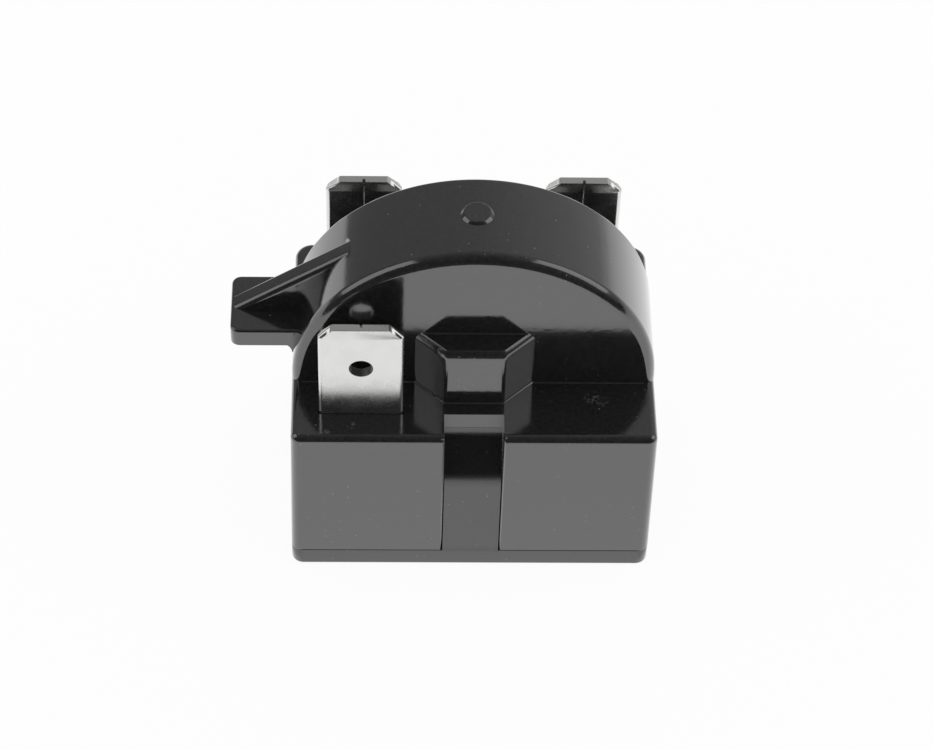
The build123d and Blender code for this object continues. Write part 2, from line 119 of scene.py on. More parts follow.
def rod(radius, low, high, steps=64):
    """A round bar between two points."""
    form = bmesh.new()
    low, high = Vector(low), Vector(high)
    line = high - low
    bmesh.ops.create_cone(
        form, cap_ends=True, segments=steps, radius1=radius, radius2=radius, depth=line.length
    )
    turned = line.to_track_quat("Z", "Y").to_matrix()
    bmesh.ops.rotate(form, cent=(0, 0, 0), matrix=turned, verts=form.verts)
    bmesh.ops.translate(form, vec=(low + high) / 2, verts=form.verts)
    return form


def arch(radius, low_z, near_y, far_y, steps):
    """A half round on straight sides, drawn out from near_y to far_y."""
    form = bmesh.new()
    start = form.verts.new((radius, near_y, hump_z))
    bmesh.ops.spin(
        form, geom=[start], cent=(0, near_y, hump_z), axis=(0, -1, 0), angle=math.pi, steps=steps,
        use_duplicate=False
    )
    ends = [min(form.verts, key=lambda v: v.co.x), start]
    feet = [form.verts.new((end.co.x, near_y, low_z)) for end in ends]
    form.edges.new((ends[0], feet[0]))
    form.edges.new((feet[0], feet[1]))
    form.edges.new((feet[1], ends[1]))
    outline = bmesh.ops.contextual_create(form, geom=form.edges[:])["faces"]
    return draw_out(form, outline, (0, far_y - near_y, 0))


def divide(form, axis, level):
    """Adds a ring of edges where a form crosses a level on one axis."""
    every = form.verts[:] + form.edges[:] + form.faces[:]
    across = Vector((0, 0, 0))
    across[axis] = 1
    bmesh.ops.bisect_plane(form, geom=every, plane_co=level * across, plane_no=across)


def solid(form):
    """Turns a finished form into an object, still in millimetres."""
    mesh = bpy.data.meshes.new("solid")
    form.to_mesh(mesh)
    form.free()
    made = bpy.data.objects.new("solid", mesh)
    bpy.context.scene.collection.objects.link(made)
    return made


def combine(base, forms, operation):
    """Joins forms to a base solid, or cuts them out of it."""
    others = [solid(form) for form in forms]
    for other in others:
        step = base.modifiers.new("combine", "BOOLEAN")
        step.operation = operation
        step.solver = "MANIFOLD"
        step.object = other
    shape = base.evaluated_get(bpy.context.evaluated_depsgraph_get())
    mesh = bpy.data.meshes.new_from_object(shape)
    base.modifiers.clear()
    base.data = mesh
    for other in others:
        bpy.data.objects.remove(other)


def block_form():
    """The block, a little wider and deeper at the seam."""
    form = box((-block_width / 2, front_y, seam_z), (block_width / 2, rear_y, shelf_z))
    for vert in form.verts:
        if vert.co.z < seam_z + 1:
            vert.co.x += math.copysign(side_draft, vert.co.x)
            vert.co.y += math.copysign(side_draft, vert.co.y)
    soften(form, lambda e: runs_along(e, 2) and middle(e).y < 0, front_corner, 8)
    soften(form, lambda e: runs_along(e, 2) and min(v.co.y for v in e.verts) > rear_y - draft_slack
           and abs(middle(e).x) > block_width / 2 - draft_slack, rear_corner, 12)
    soften(form, lambda e: at_level(e, 2, shelf_z), shelf_edge, 6)
    soften(form, lambda e: at_level(e, 2, seam_z), seam_cut, 2)
    return form


def hump_form():
    """The hump, divided on both sides of the gusset so that only that strip shades with it."""
    form = arch(hump_radius, ceiling_z, hump_front_y, hump_rear_y, hump_steps)
    divide(form, 1, gusset_near_y - gusset_margin)
    divide(form, 1, gusset_far_y + gusset_margin)
    for level, radius, steps in ((hump_front_y, hump_front_edge, 8), (hump_rear_y, hump_rear_edge, 3)):
        soften(form, lambda e: at_level(e, 1, level) and middle(e).z > ceiling_z + near_enough,
               radius, steps)
    return form


# Housing, boss, arm and knob. These belong to the same moulding: a half-hexagon boss, hollow
# inside, in front of the hump, a flat arm that juts out at the left with a gusset up to the hump,
# and a small flat knob on the crown.

side_wall = 1.4
hump_wall = 1.3
boss_rear_half = 4.45
boss_front_half = 2.2
boss_rear_share = 1.486
boss_front_share = 0.388
boss_depth = 2.05
boss_top_z = 20.85
boss_rim_turn = 46.4
boss_rim_drop = 0.77
boss_rim_steps = 6
boss_corner = 0.2
boss_corner_x = 1.5
boss_corner_back = 0.3
boss_corner_turn = 0.5
boss_top_edge = 0.05
boss_root = 0.75
boss_foot_half = 3.9
joint_fillet = 0.14
joint_steps = 4
foot_root = 0.1
foot_share = 0.98
level_slack = 0.02
arm_tip_x = -18.3
arm_root_x = -12.3
arm_near_y = -2.725
arm_far_y = 2.875
arm_top_z = 19.1
arm_thickness = 1.6
arm_corner = 0.7
arm_edge = 0.2
arm_root = 1.0
arm_root_steps = 12
arm_root_lift = 0.004
arm_overlap = 0.2
gusset_top = (-9.3, 25.42)
gusset_top_run = 0.7
gusset_foot_inset = 0.3
gusset_tip_inset = 0.2
gusset_root = 1.0
gusset_front_edge = 0.5
gusset_rear_edge = 0.3
ridge_lowest = 1
ridge_shortest = 4
knob_y = 0.125
knob_top_z = 29.25
knob_depth = 0.3
knob_foot_radius = 1.27
knob_top_radius = 1.0
knob_edge = 0.07


def boss_outline(inset):
    """The half hexagon, its front and slanted sides moved in by an even distance."""
    rear_half = boss_rear_half - boss_rear_share * inset
    front_half = boss_front_half - boss_front_share * inset
    front = hump_front_y - boss_depth + inset
    back = hump_front_y + hump_wall / 2
    half = [(rear_half, back), (rear_half, hump_front_y), (front_half, front)]
    return half + [(-x, y) for x, y in reversed(half)]


def boss_form():
    """Rings from a small fillet on the shelf up to the broad rounding under the flat top."""
    turn = math.radians(boss_rim_turn)
    bend = boss_rim_drop / math.sin(turn)
    rings = [(shelf_z - boss_root, -joint_fillet)]
    for step in range(joint_steps + 1):
        angle = step / joint_steps * math.pi / 2
        level = shelf_z + joint_fillet * (1 - math.cos(angle))
        rings.append((level, joint_fillet * (math.sin(angle) - 1)))
    for step in range(boss_rim_steps + 1):
        angle = step / boss_rim_steps * turn
        level = boss_top_z - boss_rim_drop + bend * math.sin(angle)
        rings.append((level, bend * (1 - math.cos(angle))))
    form = bmesh.new()
    top = form.faces.new([form.verts.new((x, y, rings[0][0])) for x, y in boss_outline(rings[0][1])])
    under = top
    for level, inset in rings[1:]:
        drawn = bmesh.ops.extrude_face_region(form, geom=[top])["geom"]
        if top is not under:
            bmesh.ops.delete(form, geom=[top], context="FACES_ONLY")
        top = [part for part in drawn if isinstance(part, bmesh.types.BMFace)][0]
        for vert, (x, y) in zip(top.verts, boss_outline(inset)):
            vert.co = (x, y, level)
    bmesh.ops.recalc_face_normals(form, faces=form.faces)
    corner_y = hump_front_y - boss_depth + boss_rim_drop
    soften(form, lambda e: e.calc_face_angle(0) > boss_corner_turn and abs(middle(e).x) > boss_corner_x
           and middle(e).y < corner_y - boss_corner_back
           and abs(e.verts[0].co.z - e.verts[1].co.z) > level_slack, boss_corner, 4)
    soften(form, lambda e: at_level(e, 2, boss_top_z) and middle(e).y < hump_front_y, boss_top_edge, 2)
    return form


def foot_form(half, low):
    """The small fillet between the hump's front face and a flat below it."""
    near = hump_front_y
    corners = [
        (-half, near + foot_root, low - foot_root),
        (-half, near - joint_fillet, low - foot_root),
        (-half, near - joint_fillet, low),
        (-half, near, low),
        (-half, near, low + joint_fillet),
        (-half, near + foot_root, low + joint_fillet),
    ]
    form = prism(corners, (2 * half, 0, 0))
    soften(form, lambda e: runs_along(e, 0) and abs(middle(e).y - near) < near_enough
           and abs(middle(e).z - low) < near_enough, joint_fillet * foot_share, 4)
    return form


def plate_form():
    """The arm's flat plate."""
    low_z = arm_top_z - arm_thickness
    form = box((arm_tip_x, arm_near_y, low_z), (arm_root_x, arm_far_y, arm_top_z))
    soften(form, lambda e: runs_along(e, 2) and middle(e).x < arm_tip_x + near_enough, arm_corner, 6)
    soften(form, lambda e: at_level(e, 2, arm_top_z) and middle(e).x < arm_root_x - near_enough,
           arm_edge, 4)
    return form


def root_form():
    """The hollow rounding under the arm, where it meets the hump's side."""
    low_z = arm_top_z - arm_thickness
    side_x = -block_width / 2
    near = arm_near_y + arm_edge
    corners = [
        (arm_root_x, near, low_z - arm_root),
        (arm_root_x, near, low_z + arm_overlap),
        (side_x - arm_root, near, low_z + arm_overlap),
    ]
    for step in range(arm_root_steps + 1):
        angle = step / arm_root_steps * math.pi / 2
        x = side_x - arm_root * (1 - math.sin(angle)) + arm_root_lift
        corners.append((x, near, low_z - arm_root * (1 - math.cos(angle)) + arm_root_lift))
    return prism(corners, (0, arm_far_y - arm_edge - near, 0))


def gusset_form():
    """The web that runs from the arm's tip up to the hump, its two long edges rounded."""
    top_x, top_z = gusset_top
    corners = [
        (arm_tip_x + gusset_foot_inset, gusset_near_y, arm_top_z - gusset_root),
        (arm_tip_x + gusset_tip_inset, gusset_near_y, arm_top_z),
        (top_x, gusset_near_y, top_z),
        (top_x + gusset_top_run, gusset_near_y, top_z - side_wall),
        (arm_root_x, gusset_near_y, arm_top_z - gusset_root),
    ]
    form = prism(corners, (0, gusset_far_y - gusset_near_y, 0))
    for level, radius in ((gusset_near_y, gusset_front_edge), (gusset_far_y, gusset_rear_edge)):
        soften(form, lambda e: middle(e).z > arm_top_z + ridge_lowest and at_level(e, 1, level)
               and e.calc_length() > ridge_shortest, radius, 6)
    return form


def knob_form():
    """The flat knob with slanted sides on the crown."""
    form = bmesh.new()
    bmesh.ops.create_cone(
        form, cap_ends=True, segments=72, radius1=knob_foot_radius, radius2=knob_top_radius,
        depth=knob_depth
    )
    bmesh.ops.translate(form, vec=(0, knob_y, knob_top_z - knob_depth / 2), verts=form.verts)
    soften(form, lambda e: at_level(e, 2, knob_top_z), knob_edge, 4)
    return form


# Housing, cuts. The latch channels run down the front and rear faces, and inside the housing is
# the room for the pin sockets, the chamber for the disc and the slots that the tabs come up through.

channel_half = 2.25
channel_depth = 2.4
channel_wall = 1.0
channel_lip = 0.1
channel_low_z = 0.5
channel_flare = 1.1
channel_height = shelf_z
sheet = 0.4
tab_gap = 0.04
tabs = {
    "common": {"x": -8.46, "y": -7.095, "width": 6.3, "seam_side": 1, "leg_side": -1},
    "start": {"x": -8.35, "y": 7.825, "width": 5.75, "seam_side": -1, "leg_side": 1},
    "run": {"x": 8.35, "y": 7.825, "width": 5.75, "seam_side": -1, "leg_side": 1},
}
pocket_half_plan = [(3.35, -3.675), (3.35, -4.325), (1.65, -5.275)]
pocket_height = 7.0
latch_half = 1.5
latch_low_z = 5.95
latch_top_z = 8.55
latch_start = 0.5
latch_reach = 2.5
chamber_gap = 0.02
chamber_steps = 96
cut_overlap = 1
gusset_end_half = 0.9
gusset_end_margin = 0.1


def channel_form(side):
    """The channel in one face, with slightly opened lips, drafted like that face."""
    face = side * block_depth / 2
    inner = face - side * channel_depth
    right_half = [
        (channel_half, inner),
        (channel_half, face - side * channel_lip),
        (channel_half + channel_lip, face),
        (channel_half + channel_flare, face + side * cut_overlap),
    ]
    plan = [(-channel_half, inner)] + right_half + [(-x, y) for x, y in reversed(right_half[1:])]
    form = prism([(x, y, channel_low_z) for x, y in plan], (0, 0, channel_height))
    lean = side_draft / (shelf_z - seam_z)
    for vert in form.verts:
        if side * (vert.co.y - inner) > cut_overlap / 2:
            vert.co.y += side * lean * (shelf_z - vert.co.z)
    return form


def room_form():
    """The room for the sockets, narrowed by the walls behind the channels."""
    half_x = block_width / 2 - side_wall
    half_y = block_depth / 2 - side_wall
    wall_x = channel_half + channel_wall
    wall_y = block_depth / 2 - channel_depth - channel_wall
    quarter = [(wall_x, wall_y), (wall_x, half_y), (half_x, half_y)]
    corners = quarter + [(x, -y) for x, y in reversed(quarter)]
    corners += [(-x, -y) for x, y in quarter] + [(-x, y) for x, y in reversed(quarter)]
    return prism([(x, y, 0) for x, y in corners], (0, 0, ceiling_z))


def pocket_form():
    """The hollow inside the boss."""
    plan = [(-x, y) for x, y in pocket_half_plan] + pocket_half_plan[::-1]
    return prism([(x, y, ceiling_z - cut_overlap) for x, y in plan], (0, 0, pocket_height))


def slot_form(x, y, width):
    """The slot that a tab comes up through."""
    half_x = width / 2 + tab_gap
    half_y = sheet + tab_gap
    low_z = ceiling_z - cut_overlap
    return box((x - half_x, y - half_y, low_z), (x + half_x, y + half_y, shelf_z + cut_overlap))


def latch_window_form(side):
    """The window behind a channel that a tongue's hook snaps into."""
    near = side * (block_depth / 2 - channel_depth + latch_start)
    far = near - side * latch_reach
    return box((-latch_half, min(near, far), latch_low_z), (latch_half, max(near, far), latch_top_z))


def new_material(name):
    """A node material and its shader."""
    material = bpy.data.materials.new(name)
    material.use_nodes = True
    tree = material.node_tree
    return material, tree, tree.nodes["Principled BSDF"]


def calculate(tree, operation, *values):
    """One step of arithmetic on patterns or plain numbers."""
    made = tree.nodes.new("ShaderNodeMath")
    made.operation = operation
    for socket, value in zip(made.inputs, values):
        if isinstance(value, bpy.types.NodeSocket):
            tree.links.new(value, socket)
        else:
            socket.default_value = value
    return made.outputs["Value"]


def object_noise(tree, scale, detail):
    """Noise over the piece's own coordinates, in cycles a metre."""
    place = tree.nodes.new("ShaderNodeTexCoord")
    noise = tree.nodes.new("ShaderNodeTexNoise")
    noise.inputs["Scale"].default_value = scale
    noise.inputs["Detail"].default_value = detail
    tree.links.new(place.outputs["Object"], noise.inputs["Vector"])
    return noise.outputs["Fac"]


def spread(tree, value, low, high, start=0.35, end=0.65):
    """Stretches a pattern between two values."""
    ramp = tree.nodes.new("ShaderNodeMapRange")
    ramp.inputs["From Min"].default_value = start
    ramp.inputs["From Max"].default_value = end
    ramp.inputs["To Min"].default_value = low
    ramp.inputs["To Max"].default_value = high
    tree.links.new(value, ramp.inputs["Value"])
    return ramp.outputs["Result"]


def add_bump(tree, shader, height, depth, strength):
    """Raises a surface by a height pattern that is depth metres deep."""
    bump = tree.nodes.new("ShaderNodeBump")
    bump.inputs["Distance"].default_value = depth
    bump.inputs["Strength"].default_value = strength
    tree.links.new(height, bump.inputs["Height"])
    tree.links.new(bump.outputs["Normal"], shader.inputs["Normal"])


mm = 0.001
weld_distance = 0.0008
sliver_distance = 0.0005


def finish_piece(piece, name, material, sharp=30):
    """Brings a finished solid to metres, shades it and puts it in its node's place."""
    form = bmesh.new()
    form.from_mesh(piece.data)
    bmesh.ops.remove_doubles(form, verts=form.verts, dist=weld_distance)
    bmesh.ops.dissolve_degenerate(form, edges=form.edges, dist=sliver_distance)
    bmesh.ops.scale(form, vec=(mm, mm, mm), verts=form.verts)
    form.to_mesh(piece.data)
    form.free()
    piece.name = "shown_" + name
    piece.data.name = piece.name
    piece.data.materials.clear()
    piece.data.materials.append(material)
    piece.data.shade_smooth()
    piece.data.set_sharp_from_angle(angle=math.radians(sharp))
    weighted = piece.modifiers.new("flat faces stay flat", "WEIGHTED_NORMAL")
    weighted.keep_sharp = True
    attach(piece, "root")
    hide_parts(name)


# The plastic's look: a duller finish in the channels, specks of dust, a film and a clear gloss.
matt_half_x = 2.27
matt_inner_y = 7.4
matt_rise = 0.14
dust_colour = (0.26, 0.26, 0.25, 1)
dust_scale = 1700
film_low = 0.75
film_high = 1.4
coat_low = 0.4
coat_high = 0.72
coat_mirror = 1.8
relief = 0.00001
# Small scuffs at shelf height: x, y and reach in millimetres, then strength.
worn_spots = [
    (-2.33, -9.85, 0.3, 1.0),
    (2.33, -9.85, 0.28, 0.9),
    (8.95, -5.9, 0.75, 0.2),
    (9.6, -6.2, 0.6, 0.14),
    (-9.2, -8.6, 0.4, 0.3),
    (-11.0, -9.2, 0.3, 0.25),
]


def in_channel(tree):
    """One at the latch channels and the tongues in them, nought elsewhere."""
    place = tree.nodes.new("ShaderNodeTexCoord")
    split = tree.nodes.new("ShaderNodeSeparateXYZ")
    tree.links.new(place.outputs["Object"], split.inputs["Vector"])
    across = calculate(tree, "ABSOLUTE", split.outputs["X"])
    out = calculate(tree, "ABSOLUTE", split.outputs["Y"])
    narrow = calculate(tree, "LESS_THAN", across, matt_half_x * mm)
    far = calculate(tree, "GREATER_THAN", out, matt_inner_y * mm)
    return calculate(tree, "MULTIPLY", narrow, far)


def dust(tree):
    """Tiny specks, one in some of the cells of a scattered pattern, and scuffs at the worn spots."""
    place = tree.nodes.new("ShaderNodeTexCoord")
    cells = tree.nodes.new("ShaderNodeTexVoronoi")
    cells.inputs["Scale"].default_value = dust_scale
    tree.links.new(place.outputs["Object"], cells.inputs["Vector"])
    speck = spread(tree, cells.outputs["Distance"], 1.0, 0.0, 0.04, 0.11)
    part = tree.nodes.new("ShaderNodeSeparateColor")
    tree.links.new(cells.outputs["Color"], part.inputs["Color"])
    few = spread(tree, part.outputs["Red"], 0.0, 1.0, 0.6, 1.0)
    marks = calculate(tree, "MULTIPLY", speck, few)
    for x, y, reach, strength in worn_spots:
        away = tree.nodes.new("ShaderNodeVectorMath")
        away.operation = "DISTANCE"
        away.inputs[1].default_value = (x * mm, y * mm, shelf_z * mm)
        tree.links.new(place.outputs["Object"], away.inputs[0])
        near = spread(tree, away.outputs["Value"], strength, 0.0, reach * mm / 2, reach * mm)
        broken = spread(tree, object_noise(tree, 3500, 2), 0.0, 1.0, 0.52, 0.62)
        scuff = calculate(tree, "MULTIPLY", near, broken)
        marks = calculate(tree, "MAXIMUM", marks, scuff)
    return marks


def black_plastic(name, grey, mirror, low_rough, high_rough, ripple):
    """Glossy black plastic that mirrors more strongly at a glancing angle."""
    material, tree, shader = new_material(name)
    shade = spread(tree, object_noise(tree, 4000, 3), film_low * grey, film_high * grey)
    film = tree.nodes.new("ShaderNodeCombineColor")
    for channel in film.inputs:
        tree.links.new(shade, channel)
    tone = tree.nodes.new("ShaderNodeMix")
    tone.data_type = "RGBA"
    tree.links.new(film.outputs["Color"], tone.inputs["A"])
    tone.inputs["B"].default_value = dust_colour
    tree.links.new(dust(tree), tone.inputs["Factor"])
    tree.links.new(tone.outputs["Result"], shader.inputs["Base Color"])
    shader.inputs["IOR"].default_value = mirror
    rough = spread(tree, object_noise(tree, 260, 4), low_rough, high_rough)
    duller = calculate(tree, "MULTIPLY_ADD", in_channel(tree), matt_rise, rough)
    tree.links.new(duller, shader.inputs["Roughness"])
    glance = tree.nodes.new("ShaderNodeLayerWeight")
    glance.inputs["Blend"].default_value = 0.5
    coat = spread(tree, glance.outputs["Facing"], 0.0, 0.8, coat_low, coat_high)
    tree.links.new(coat, shader.inputs["Coat Weight"])
    shader.inputs["Coat IOR"].default_value = coat_mirror
    shader.inputs["Coat Roughness"].default_value = low_rough
    add_bump(tree, shader, object_noise(tree, 2000, 2), relief, ripple)
    return material


def at_gusset_end(point):
    """True close to where the gusset's ridge runs into the hump."""
    if abs(point.x - gusset_top[0]) > gusset_end_half or abs(point.z - gusset_top[1]) > gusset_end_half:
        return False
    return gusset_near_y - gusset_end_margin < point.y < gusset_far_y + gusset_end_margin


gloss_black = black_plastic("gloss_black", 0.011, 2.1, 0.1, 0.13, 0.5)

housing = solid(block_form())
added = [hump_form(), boss_form()]
added.append(foot_form(block_width / 2 - hump_front_edge, shelf_z))
added.append(foot_form(boss_foot_half, boss_top_z))
added += [plate_form(), root_form(), gusset_form(), knob_form()]
combine(housing, added, "UNION")
cuts = [channel_form(-1), channel_form(1), room_form()]
chamber_radius = hump_radius - side_wall - chamber_gap
cuts.append(arch(
    chamber_radius, ceiling_z - cut_overlap, hump_front_y + hump_wall, hump_rear_y - hump_wall,
    chamber_steps
))
cuts += [pocket_form(), latch_window_form(-1), latch_window_form(1)]
cuts += [slot_form(tab["x"], tab["y"], tab["width"]) for tab in tabs.values()]
combine(housing, cuts, "DIFFERENCE")

for edge in housing.data.edges:
    if all(at_gusset_end(housing.data.vertices[index].co) for index in edge.vertices):
        edge.use_edge_sharp = True
finish_piece(housing, "housing", gloss_black)

# Cover: a plate moulded in the same black plastic, a little duller, that closes the housing from
# below. Two snap tongues stand up from it in the latch channels, their hooks in the housing's
# windows, and it has a locating lip, seats for the sockets and two posts for the disc.

cover_corner = 0.9
cover_edge = 0.25
cover_seam_cut = 0.1
tongue_half = 2.17
tongue_inner = 7.535
tongue_outer = 9.705
tongue_foot = 10.07
tongue_foot_low_z = 0.9
tongue_foot_top_z = 1.6
tongue_foot_slope = (0.06, 0.5)
tongue_bend_z = 9.95
tongue_top_z = 13.19
tongue_tip_hollow = [(0.22, -0.28), (0.1, -0.04), (0.03, 0.22), (0, 0.55)]
tongue_bend = 0.7
tongue_side_edge = 0.12
tongue_side_low = 1
tongue_side_below = 0.3
tongue_side_out = 0.05
hook_profile = [(8.255, 6.1), (8.255, 8.4), (7.655, 8.4), (7.055, 6.1)]
hook_half = 1.35
lip_outer = (12.1, 8.325)
lip_inner = (11.1, 7.325)
lip_end_x = 3.45
lip_low_z = 1.2
lip_height = 1.75
seat_half = 2.8
seat_limit_y = 8.3
seat_low_z = 1.2
seat_top_z = 2.45
seat_bore = 2.1
post_places = (-6.0, 6.0)
post_half = 0.9
post_near = (-1.3, 1.0)
post_far = (0.75, 9.2)
pin_places = {"common": (0, -4.055), "start": (-5.80237, 5.995), "run": (5.80237, 5.995)}


def plate_plan_form():
    """The plate, flush with the foot of the drafted block."""
    half_x = block_width / 2 + side_draft
    half_y = block_depth / 2 + side_draft
    form = box((-half_x, -half_y, 0), (half_x, half_y, seam_z))
    soften(form, lambda e: runs_along(e, 2) and middle(e).y < 0, cover_corner, 10)
    soften(form, lambda e: runs_along(e, 2) and middle(e).y > half_y - near_enough
           and abs(middle(e).x) > half_x - near_enough, rear_corner, 12)
    soften(form, lambda e: at_level(e, 2, 0), cover_edge, 5)
    soften(form, lambda e: at_level(e, 2, seam_z), cover_seam_cut, 2)
    return form


def tongue_form(side):
    """A tongue: a foot, a long slanted face, a rounded bend and a ramp with a hollow at its end."""
    back, rise = tongue_foot_slope
    profile = [
        (tongue_inner, tongue_foot_low_z),
        (tongue_foot, tongue_foot_low_z),
        (tongue_foot, tongue_foot_top_z),
        (tongue_foot - back, seam_z + rise),
        (tongue_outer, tongue_bend_z),
    ]
    profile += [(tongue_inner + out, tongue_top_z + up) for out, up in tongue_tip_hollow]
    form = prism([(-tongue_half, side * y, z) for y, z in profile], (2 * tongue_half, 0, 0))
    soften(form, lambda e: runs_along(e, 0) and abs(middle(e).z - tongue_bend_z) < near_enough,
           tongue_bend, 10)
    soften(form, lambda e: not runs_along(e, 0)
           and tongue_side_low < middle(e).z < tongue_top_z - tongue_side_below
           and side * middle(e).y > tongue_inner + tongue_side_out
           and e.calc_face_angle(0) > 1, tongue_side_edge, 4)
    return form


def hook_form(side):
    """The hook on a tongue's back."""
    return prism([(-hook_half, side * y, z) for y, z in hook_profile], (2 * hook_half, 0, 0))


def lip_form(side):
    """Half of the lip inside the housing's walls, which leaves the channels free."""
    (outer_x, outer_y), (inner_x, inner_y) = lip_outer, lip_inner
    path = [
        (lip_end_x, -outer_y), (outer_x, -outer_y), (outer_x, outer_y), (lip_end_x, outer_y),
        (lip_end_x, inner_y), (inner_x, inner_y), (inner_x, -inner_y), (lip_end_x, -inner_y),
    ]
    return prism([(side * x, y, lip_low_z) for x, y in path], (0, 0, lip_height))


def seat_form(x, y):
    """The seat under a socket."""
    low = (x - seat_half, max(y - seat_half, -seat_limit_y), seat_low_z)
    return box(low, (x + seat_half, min(y + seat_half, seat_limit_y), seat_top_z))


cover_black = black_plastic("cover_black", 0.003, 1.97, 0.1, 0.16, 0.6)

cover = solid(plate_plan_form())
added = [form(side) for form in (tongue_form, hook_form, lip_form) for side in (-1, 1)]
added += [seat_form(x, y) for x, y in pin_places.values()]
added += [box((x - post_half, *post_near), (x + post_half, *post_far)) for x in post_places]
combine(cover, added, "UNION")
bores = [rod(seat_bore, (x, y, -cut_overlap), (x, y, ceiling_z)) for x, y in pin_places.values()]
combine(cover, bores, "DIFFERENCE")
finish_piece(cover, "bottom_cover", cover_black)

# Terminals: each is stamped from tin-plated sheet 0.4 mm thick. The tab is folded double, so it has
# rounded long sides, a seam down one face and a notch where the fold closes at the tip. Below the
# shelf a strap leads to a rolled socket for the compressor's pin.

tab_top_z = 24.6
tab_bend_z = 23.6
tab_tip_inset = 1.1
tab_tip_thin = 0.07
tab_tip_edge = 0.05
tab_fold = 0.34
tab_hole = 0.9
tab_hole_z = 20.45
hole_reach = 1
hole_steps = 56
seam_half = 0.1
seam_mouth = 0.41
seam_bottom = 0.343
seam_height = 10
notch_half = 0.13
notch_rise = 0.05
notch_depth = 0.3
notch_reach = 0.5
strap_low_z = 13.35
socket_low_z = 2.55
socket_top_z = 10.55
pin_radius = 1.6
leg_half = 1.1
slit_half = 0.25
slit_reach = 3
slit_top_z = 12.85


def blade_form(width):
    """The folded tab, drawn in at the tip."""
    form = box((-width / 2, -sheet, strap_low_z), (width / 2, sheet, tab_top_z))
    divide(form, 2, tab_bend_z)
    for vert in form.verts:
        if vert.co.z > tab_bend_z + near_enough:
            vert.co.x -= math.copysign(tab_tip_inset, vert.co.x)
            vert.co.y -= math.copysign(tab_tip_thin, vert.co.y)
    soften(form, lambda e: runs_along(e, 2), tab_fold, 6)
    soften(form, lambda e: at_level(e, 2, tab_top_z), tab_tip_edge, 2)
    return form


def blade_cuts(seam_side):
    """The hole, the seam and the notch of a tab."""
    hole = rod(tab_hole, (0, -hole_reach, tab_hole_z), (0, hole_reach, tab_hole_z), hole_steps)
    seam_corners = [
        (-seam_half, seam_side * seam_mouth, shelf_z),
        (0, seam_side * seam_bottom, shelf_z),
        (seam_half, seam_side * seam_mouth, shelf_z),
    ]
    notch_corners = [
        (-notch_half, 0, tab_top_z + notch_rise),
        (0, 0, tab_top_z - notch_depth),
        (notch_half, 0, tab_top_z + notch_rise),
    ]
    seam = prism(seam_corners, (0, 0, seam_height))
    notch = prism(notch_corners, (0, seam_side * notch_reach, 0))
    return [hole, seam, notch]


def socket_forms(x, y, leg_side):
    """The rolled sleeve and the leg that joins it to the strap, then what is cut from them."""
    leg = sorted((leg_side * pin_radius, leg_side * (pin_radius + sheet)))
    slit = sorted((0, -leg_side * slit_reach))
    leg_low = (x - leg_half, y + leg[0], socket_top_z - cut_overlap)
    added = [
        rod(pin_radius + sheet, (x, y, socket_low_z), (x, y, socket_top_z)),
        box(leg_low, (x + leg_half, y + leg[1], strap_low_z + sheet)),
    ]
    cut = [
        rod(pin_radius, (x, y, socket_low_z - cut_overlap), (x, y, socket_top_z + cut_overlap)),
        box((x - slit_half, y + slit[0], 0), (x + slit_half, y + slit[1], slit_top_z)),
    ]
    return added, cut


tin, tree, shader = new_material("tin")
shader.inputs["Base Color"].default_value = (0.76, 0.76, 0.75, 1)
shader.inputs["Metallic"].default_value = 1.0
rough = spread(tree, object_noise(tree, 700, 6), 0.23, 0.3)
tree.links.new(rough, shader.inputs["Roughness"])
add_bump(tree, shader, object_noise(tree, 9000, 3), relief, 0.3)

# Each strap is one or two flat bars from its tab to its socket, given by opposite corners in plan.
straps = {
    "common": [((-11.61, -7.495), (-5.31, -3.255)), ((-6.31, -6.055), (1.1, -3.255))],
    "start": [((-11.225, 2.775), (-4.70237, 8.225))],
    "run": [((4.70237, 2.775), (11.225, 8.225))],
}
for name, tab in tabs.items():
    blade = blade_form(tab["width"])
    blade_holes = blade_cuts(tab["seam_side"])
    for form in [blade] + blade_holes:
        bmesh.ops.translate(form, vec=(tab["x"], tab["y"], 0), verts=form.verts)
    terminal = solid(blade)
    added, cut = socket_forms(*pin_places[name], tab["leg_side"])
    for low, high in straps[name]:
        added.append(box((*low, strap_low_z), (*high, strap_low_z + sheet)))
    cut += blade_holes
    combine(terminal, added, "UNION")
    combine(terminal, cut, "DIFFERENCE")
    finish_piece(terminal, name + "_terminal", tin, 40)

# Inside: the pieces that stay as they come from the drawing get only their materials, a brown-grey
# ceramic for the disc, spring steel for the contact springs and phosphor bronze for the clips.

inner_dulling = 0.15
inner_looks = [
    ("ceramic", (0.16, 0.14, 0.125), 0.0, 0.55, ["ptc_disc"]),
    ("spring_steel", (0.55, 0.54, 0.52), 1.0, 0.25, ["start_contact_spring", "run_contact_spring"]),
    ("clip_bronze", (0.63, 0.45, 0.27), 1.0, 0.3,
     ["common_socket_clip", "start_socket_clip", "run_socket_clip"]),
]
for look, colour, metal, dullness, names in inner_looks:
    material, tree, shader = new_material(look)
    shader.inputs["Base Color"].default_value = (*colour, 1)
    shader.inputs["Metallic"].default_value = metal
    rough = spread(tree, object_noise(tree, 900, 4), dullness, dullness + inner_dulling)
    tree.links.new(rough, shader.inputs["Roughness"])
    add_bump(tree, shader, object_noise(tree, 3000, 4), relief, 0.3)
    for name in names:
        for place in nodes[name].material_slots:
            place.material = material
